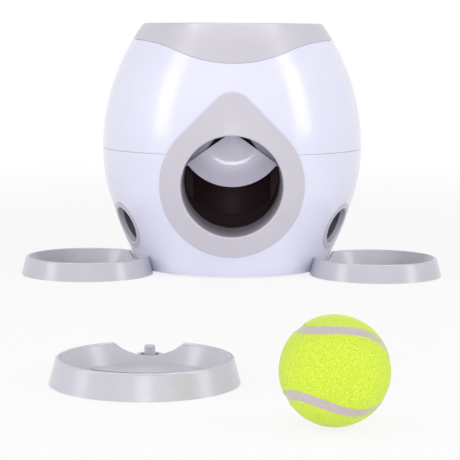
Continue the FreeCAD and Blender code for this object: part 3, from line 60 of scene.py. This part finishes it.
def addNode(tree, kind, feeds, **settings):
    made = tree.nodes.new("ShaderNode" + kind)
    for name, value in settings.items():
        setattr(made, name, value)
    feed(tree, made, feeds)
    return made


def newMaterial(name):  # with its tree, its shader and the piece's own coordinates
    material = bpy.data.materials.new(name)
    material.use_nodes = True
    tree = material.node_tree
    place = addNode(tree, "TexCoord", {}).outputs["Object"]
    return material, tree, tree.nodes["Principled BSDF"], place


def dress(material, nodes):
    for name in nodes:
        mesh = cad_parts[name].data
        mesh.materials.clear()
        mesh.materials.append(material)
    print(material.name, "on", ", ".join(nodes))


# Moulded plastics. rough is the least and the most roughness, and glossPatch and tonePatch the
# width in mm over which gloss and tone wander. drift is how far the tone wanders. grain is the
# tool's texture and relief its depth, in mm. coat is the polished skin that gives the streaks.
moulded = {"rough": (0.35, 0.45), "glossPatch": 50, "tonePatch": 90, "drift": 0.03,
           "grain": 0.9, "relief": 0.012, "coat": 0.0, "coatRough": 0.13, "ior": 1.5}
shellPlastic = {**moulded, "name": "glossyAbsWhite", "colour": "E2E2F5",
                "rough": (0.20, 0.27), "relief": 0.006, "coat": 0.35,
                "nodes": ("lower_shell", "upper_shell")}  # polished tool: tall soft streaks
trimPlastic = {**moulded, "name": "satinAbsGrey", "colour": "C8C4CE",
               "rough": (0.33, 0.42), "grain": 0.7, "coat": 0.25,
               "nodes": ("top_collar", "ball_funnel", "front_bezel", "outlet_ring_left",
                         "outlet_ring_right", "outlet_ring_rear")}  # fine grain: even warm grey
trayPlastic = {**moulded, "name": "satinAbsTrayGrey", "colour": "BFBDC6",
               "rough": (0.26, 0.34), "grain": 0.7, "coat": 0.6, "coatRough": 0.21,
               "nodes": ("tray_left", "tray_right", "tray_loose")}  # smoother: broad sheen
carrierPaintedLightPlastic = {**moulded, "name": "satinAbsCheekGreyPaintedLight", "colour": "DEDDEA", "coat": 0.2,
                  "nodes": ("flap_carrier",)}  # cheeks behind the flap, their grey lightened as painted light for the dim recess
chutePlastic = {**moulded, "name": "satinAbsBrownBlack", "colour": "3B252C",
                "rough": (0.52, 0.62), "relief": 0.006,
                "nodes": ("ball_chute",)}  # plum-dark depth with faint upright bands
innerPlastic = {**moulded, "name": "plainPpWhite", "colour": "D9D9DC",
                "rough": (0.45, 0.58), "grain": 0.6,
                "nodes": ("outlet_deck", "treat_hopper", "base_plate")}  # unpolished, milky
drivePlastic = {**moulded, "name": "acetalDark", "colour": "3A3A3E",
                "nodes": ("feed_wheel", "ratchet_ring", "index_arm",
                          "flap_bushes")}  # waxy black of running parts
ductPaintedShadePlastic = {**moulded, "name": "matteAbsDuctPaintedShade", "colour": "5F5A69",
               "rough": (0.45, 0.55),
               "nodes": ("treat_chute_left", "treat_chute_right",
                         "treat_chute_rear")}  # dark grey as painted shade inside the ports
flapPaintedLightPlastic = {**moulded, "name": "glossyPolycarbonatePaintedLight", "colour": "EDE9FB",
               "rough": (0.10, 0.15), "relief": 0.004, "coat": 0.8, "coatRough": 0.07,
               "ior": 1.58, "nodes": ("ball_flap",)}  # polished dish: one curved highlight; its light grey paled nearly to white as painted light for the dim hole


def makePlastic(finish):
    material, tree, shader, place = newMaterial(finish["name"])
    cloud = addNode(tree, "TexNoise", {"Vector": place, "Detail": 3,
                                       "Scale": 1 / (finish["glossPatch"] * mm)})
    rough = addNode(tree, "MapRange", {"Value": cloud.outputs["Fac"], **noiseSpan,
                                       "To Min": finish["rough"][0],
                                       "To Max": finish["rough"][1]})
    flow = addNode(tree, "TexNoise", {"Vector": place, "Detail": 2,
                                      "Scale": 1 / (finish["tonePatch"] * mm)})
    share = addNode(tree, "MapRange", {"Value": flow.outputs["Fac"], **noiseSpan})
    tone = addNode(tree, "Mix", {"Factor": share.outputs["Result"],
                                 "A": linear(finish["colour"], 1 - finish["drift"]),
                                 "B": linear(finish["colour"], 1 + finish["drift"])},
                   data_type="RGBA")
    grain = addNode(tree, "TexNoise", {"Vector": place, "Detail": 2,
                                       "Scale": 1 / (finish["grain"] * mm)})
    relief = addNode(tree, "Bump", {"Height": grain.outputs["Fac"],
                                    "Distance": finish["relief"] * mm})
    feed(tree, shader, {"Base Color": tone.outputs["Result"],
                        "Roughness": rough.outputs["Result"],
                        "Normal": relief.outputs["Normal"], "IOR": finish["ior"],
                        "Coat Weight": finish["coat"], "Coat Roughness": finish["coatRough"]})
    dress(material, finish["nodes"])


# Drawn wire and rod: bright, and streaked by the die. lines and grain are widths in mm, and
# brushed is how much the gloss is drawn out across the lines.
steelWire = {"name": "drawnSteel", "colour": "B5B5B8", "rough": (0.22, 0.38), "lines": 1.2,
             "grain": 0.4, "relief": 0.004, "brushed": 0.4,
             "nodes": ("flap_shaft", "flap_spring", "shaft_clip", "carrier_screws",
                       "hopper_screws", "base_screws")}


def makeSteel(finish):
    material, tree, shader, place = newMaterial(finish["name"])
    lines = addNode(tree, "TexNoise", {"Vector": place, "Detail": 3,
                                       "Scale": 1 / (finish["lines"] * mm)})
    rough = addNode(tree, "MapRange", {"Value": lines.outputs["Fac"], **noiseSpan,
                                       "To Min": finish["rough"][0],
                                       "To Max": finish["rough"][1]})
    grain = addNode(tree, "TexNoise", {"Vector": place, "Detail": 2,
                                       "Scale": 1 / (finish["grain"] * mm)})
    relief = addNode(tree, "Bump", {"Height": grain.outputs["Fac"],
                                    "Distance": finish["relief"] * mm})
    feed(tree, shader, {"Base Color": linear(finish["colour"]), "Metallic": 1,
                        "Anisotropic": finish["brushed"], "Roughness": rough.outputs["Result"],
                        "Normal": relief.outputs["Normal"]})
    dress(material, finish["nodes"])


# Moulded rubber. tones is the darkest and the palest share of the colour, blotch and grain are
# widths in mm, and relief is the grain's depth in mm.
footRubber = {"name": "mattRubber", "colour": "2A2A2B", "tones": (0.8, 1.3), "blotch": 4,
              "rough": 0.85, "grain": 0.5, "relief": 0.05,
              "nodes": ("foot_pads",)}  # soft black with a dusty bloom
coreRubber = {"name": "rubberCore", "colour": "3B3735", "tones": (0.8, 1.2), "blotch": 6,
              "rough": 0.8, "grain": 0.5, "relief": 0.02,
              "nodes": ("ball_core",)}  # grey-brown and dull


def makeRubber(finish):
    material, tree, shader, place = newMaterial(finish["name"])
    blotch = addNode(tree, "TexNoise", {"Vector": place, "Scale": 1 / (finish["blotch"] * mm)})
    tone = addNode(tree, "Mix", {"Factor": blotch.outputs["Fac"],
                                 "A": linear(finish["colour"], finish["tones"][0]),
                                 "B": linear(finish["colour"], finish["tones"][1])},
                   data_type="RGBA")
    grain = addNode(tree, "TexNoise", {"Vector": place, "Scale": 1 / (finish["grain"] * mm)})
    relief = addNode(tree, "Bump", {"Height": grain.outputs["Fac"],
                                    "Distance": finish["relief"] * mm})
    feed(tree, shader, {"Base Color": tone.outputs["Result"], "Roughness": finish["rough"],
                        "Normal": relief.outputs["Normal"]})
    dress(material, finish["nodes"])


# Needled wool and nylon felt: bright fuzz with darker pits. Real fibres are 0.02 mm, too fine
# to show, so tufts are drawn 0.7 mm across. seam is the rubber cement between the two felts.
# tuft, relief, reliefGrain and seamGrain are in mm.
felt = {"name": "tennisFeltAndSeam", "colour": "E2F756", "pits": "C4DE32", "pitShade": 0.86,
        "tuft": 0.7, "relief": 0.2, "reliefGrain": 0.4, "rough": 0.95,
        "sheen": 1.0, "sheenRough": 0.35, "nap": "F4FFA6",
        "seam": "C9BDC2", "seamTones": (0.8, 1.1), "seamGrain": 0.6}


def makeFelt():
    material, tree, shader, place = newMaterial(felt["name"])
    tufts = addNode(tree, "TexNoise", {"Vector": place, "Detail": 3,
                                       "Scale": 1 / (felt["tuft"] * mm)})
    height = addNode(tree, "MapRange", {"Value": tufts.outputs["Fac"], **noiseSpan})
    cloth = addNode(tree, "Mix", {"Factor": height.outputs["Result"],
                                  "A": linear(felt["pits"], felt["pitShade"]),
                                  "B": linear(felt["colour"])}, data_type="RGBA")
    crumb = addNode(tree, "TexNoise", {"Vector": place, "Scale": 1 / (felt["seamGrain"] * mm)})
    crumbShare = addNode(tree, "MapRange", {"Value": crumb.outputs["Fac"], **noiseSpan})
    cement = addNode(tree, "Mix", {"Factor": crumbShare.outputs["Result"],
                                   "A": linear(felt["seam"], felt["seamTones"][0]),
                                   "B": linear(felt["seam"], felt["seamTones"][1])},
                     data_type="RGBA")
    onSeam = addNode(tree, "Attribute", {}, attribute_name="seam")
    both = addNode(tree, "Mix", {"Factor": onSeam.outputs["Fac"], "A": cloth.outputs["Result"],
                                 "B": cement.outputs["Result"]}, data_type="RGBA")
    nap = addNode(tree, "TexNoise", {"Vector": place, "Scale": 1 / (felt["reliefGrain"] * mm)})
    relief = addNode(tree, "Bump", {"Height": nap.outputs["Fac"],
                                    "Distance": felt["relief"] * mm})
    feed(tree, shader, {"Base Color": both.outputs["Result"], "Roughness": felt["rough"],
                        "Normal": relief.outputs["Normal"], "Sheen Weight": felt["sheen"],
                        "Sheen Roughness": felt["sheenRough"],
                        "Sheen Tint": linear(felt["nap"])})
    return material


# Camera: place in m, pitch down and roll in degrees, lens and sensor in mm.
view = {"place": (-0.00156, -1.645, 0.2218), "pitch": 6.49, "roll": 0.34, "lens": 132.6,
        "sensor": 36, "near": 0.05, "far": 100}


def makeCamera():
    data = bpy.data.cameras.new("camera")
    data.lens, data.sensor_width = view["lens"], view["sensor"]
    data.clip_start, data.clip_end = view["near"], view["far"]
    camera = bpy.data.objects.new("camera", data)
    camera.location = view["place"]
    tilt = Euler((math.radians(90 - view["pitch"]), 0, 0)).to_matrix()
    roll = Euler((0, 0, math.radians(view["roll"]))).to_matrix()
    camera.rotation_euler = (tilt @ roll).to_euler()
    scene.collection.objects.link(camera)
    scene.camera = camera


# Tennis ball, centre in m. radius, nap, seamHalf, seamDeep, ragged, seamEdge and the tufts'
# heights are in mm; tufts and raggedCount also say how many bumps lie along one radius.
# seamShape runs from a plain ring to a strongly waved seam, and seamTurn is how the ball lies,
# in degrees from the front.
ball = {"centre": (0.059, -0.690, 0.0325), "radius": 32.5, "nap": 0.3, "detail": 7,
        "seamHalf": 3.3, "seamDeep": 0.5, "seamEdge": 0.3, "seamShape": 0.795,
        "seamTurn": (-136.0, 31.0, -130.0), "seamPoints": 720,
        "ragged": 0.2, "raggedCount": 90, "tufts": ((24, 0.16), (52, 0.14))}


def seamCurve():  # the seam's directions from the ball's middle
    wide = ball["seamShape"]
    narrow = 1 - wide
    high = 2 * math.sqrt(wide * narrow)
    turn = Euler([math.radians(angle) for angle in ball["seamTurn"]]).to_matrix()
    front = (Vector(view["place"]) - Vector(ball["centre"])).normalized()
    side = Vector((0, 0, 1)).cross(front).normalized()
    facing = Matrix((side, front.cross(side), front)).transposed() @ turn
    points = []
    for step in range(ball["seamPoints"]):
        angle = 2 * math.pi * step / ball["seamPoints"]
        point = Vector((wide * math.cos(angle) + narrow * math.cos(3 * angle),
                        wide * math.sin(angle) - narrow * math.sin(3 * angle),
                        high * math.sin(2 * angle)))
        points.append((facing @ point).normalized())
    return points


def makeBall():  # felt cover with its sunk seam, over the rubber core
    curve = seamCurve()
    tree = KDTree(len(curve))
    for number, point in enumerate(curve):
        tree.insert(point, number)
    tree.balance()
    radius, centre = ball["radius"] - ball["nap"], Vector(ball["centre"])
    made = bmesh.new()
    bmesh.ops.create_icosphere(made, subdivisions=ball["detail"], radius=1)
    layer = made.verts.layers.float.new("seam")
    for vert in made.verts:
        direction = vert.co.normalized()
        wobble = ball["ragged"] * noise.noise(direction * ball["raggedCount"])
        near = tree.find(direction)[2] * radius + wobble
        share = 1 - min(1, max(0, (near - ball["seamHalf"]) / ball["seamEdge"] + 0.5))
        tuft = sum(height * noise.noise(direction * count) for count, height in ball["tufts"])
        vert[layer] = share
        vert.co = centre + direction * (radius - ball["seamDeep"] * share
                                        + tuft * (1 - share)) * mm
    mesh = bpy.data.meshes.new("ballFelt")
    made.to_mesh(mesh)
    made.free()
    mesh.shade_smooth()
    mesh.materials.append(makeFelt())
    piece = bpy.data.objects.new("ballFelt", mesh)
    scene.collection.objects.link(piece)
    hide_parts("ball_felt")
    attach(piece, "ball")
    print("ball", len(mesh.polygons), "faces")


def backgroundRays(tree):  # 1 for what the camera, a mirror or clear plastic shows
    path = addNode(tree, "LightPath", {})
    seen = addNode(tree, "Math", {0: path.outputs["Is Camera Ray"],
                                  1: path.outputs["Is Glossy Ray"]}, operation="MAXIMUM")
    return addNode(tree, "Math", {0: seen.outputs[0], 1: path.outputs["Is Transmission Ray"]},
                   operation="MAXIMUM").outputs[0]


# Floor: half its width and the fade's near and far in m, below the feet in mm. clear is how
# much of the background shows through it close to the object; the rest carries the shadow.
floor = {"half": 30, "below": 0.5, "colour": "F4F4F6", "rough": 0.9, "near": 0.35, "far": 1.5,
         "clear": 0.8}


def makeStage():  # clear from below too, so that the underside and a lowered tray show
    made = bmesh.new()
    bmesh.ops.create_grid(made, x_segments=1, y_segments=1, size=floor["half"],
                          matrix=Matrix.Translation((0, 0, -floor["below"] * mm)))
    mesh = bpy.data.meshes.new("floor")
    made.to_mesh(mesh)
    made.free()
    piece = bpy.data.objects.new("floor", mesh)
    scene.collection.objects.link(piece)
    material, tree, shader, place = newMaterial("paleCard")
    feed(tree, shader, {"Base Color": linear(floor["colour"]), "Roughness": floor["rough"]})
    away = addNode(tree, "VectorMath", {0: place}, operation="LENGTH")
    fade = addNode(tree, "MapRange", {"Value": away.outputs["Value"],
                                      "From Min": floor["near"], "From Max": floor["far"],
                                      "To Min": floor["clear"]},
                   interpolation_type="SMOOTHSTEP")
    share = addNode(tree, "Math", {0: backgroundRays(tree), 1: fade.outputs["Result"]},
                    operation="MULTIPLY")
    below = addNode(tree, "NewGeometry", {}).outputs["Backfacing"]
    through = addNode(tree, "Math", {0: share.outputs[0], 1: below}, operation="MAXIMUM")
    clear = addNode(tree, "BsdfTransparent", {})
    mix = addNode(tree, "MixShader", {0: through.outputs[0], 1: shader.outputs[0],
                                      2: clear.outputs[0]})
    feed(tree, tree.nodes["Material Output"], {"Surface": mix.outputs[0]})
    mesh.materials.append(material)


surround = {"light": 0.58, "seen": 1.0}  # how strongly the world lights, and how white it looks


def makeWorld():
    world = bpy.data.worlds.new("studio")
    scene.world = world
    world.use_nodes = True
    tree = world.node_tree
    level = addNode(tree, "MapRange", {"Value": backgroundRays(tree),
                                       "To Min": surround["light"],
                                       "To Max": surround["seen"]})
    feed(tree, tree.nodes["Background"], {"Color": white, "Strength": level.outputs["Result"]})


# Softboxes: place, aim and size in m, power in W. mirrored: seen in the gloss; lighting:
# lights what isn't glossy.
lamps = {
    "overhead": {"place": (0, -0.4, 1.8), "aim": (0, -0.3, 0), "size": (2.0, 1.6),
                 "power": 2.2, "mirrored": False, "lighting": True},
    "frontFill": {"place": (0, -2.2, 0.3), "aim": (0, 0, 0.1), "size": (2.2, 0.5),
                  "power": 11, "mirrored": False, "lighting": True},
    "frontCard": {"place": (0, -2.2, 0.45), "aim": (0, 0, 0.1), "size": (0.5, 0.3),
                  "power": 2, "mirrored": True, "lighting": True},
    "edgeCard": {"place": (0, -0.15, 1.5), "aim": (0, -0.1, 0.1), "size": (1.8, 0.35),
                 "power": 14, "mirrored": True, "lighting": False},
    "leftStrip": {"place": (-1.53, -0.75, 0.8), "aim": (0, 0, 0.15), "size": (0.5, 1.1),
                  "power": 6.5, "mirrored": True, "lighting": True},
    "rightStrip": {"place": (1.53, -0.75, 0.8), "aim": (0, 0, 0.15), "size": (0.5, 1.1),
                   "power": 6.5, "mirrored": True, "lighting": True},
    "leftCard": {"place": (-1.275, -0.624, 1.547), "aim": (0.255, 0.126, 0.897),
                 "size": (0.5, 0.5), "power": 2.2, "mirrored": True, "lighting": False},
    "rightCard": {"place": (1.275, -0.624, 1.547), "aim": (-0.255, 0.126, 0.897),
                  "size": (0.5, 0.5), "power": 2.2, "mirrored": True, "lighting": False},
}


def makeLights():
    for name, lamp in lamps.items():
        data = bpy.data.lights.new(name, "AREA")
        data.shape = "RECTANGLE"
        data.size, data.size_y = lamp["size"]
        data.energy = lamp["power"]
        light = bpy.data.objects.new(name, data)
        light.location = lamp["place"]
        towards = Vector(lamp["aim"]) - Vector(lamp["place"])
        light.rotation_euler = towards.to_track_quat("-Z", "Y").to_euler()
        light.visible_glossy = lamp["mirrored"]
        light.visible_diffuse = lamp["lighting"]
        scene.collection.objects.link(light)


scene.view_settings.view_transform = "Standard"
makeCamera()
makeWorld()
makeLights()
makeStage()
print("camera, lights and floor")
for plastic in (shellPlastic, trimPlastic, trayPlastic, carrierPaintedLightPlastic, chutePlastic,
                innerPlastic, drivePlastic, ductPaintedShadePlastic, flapPaintedLightPlastic):
    makePlastic(plastic)
makeSteel(steelWire)
makeRubber(footRubber)
makeRubber(coreRubber)
print("materials")
makeBall()
print("done")
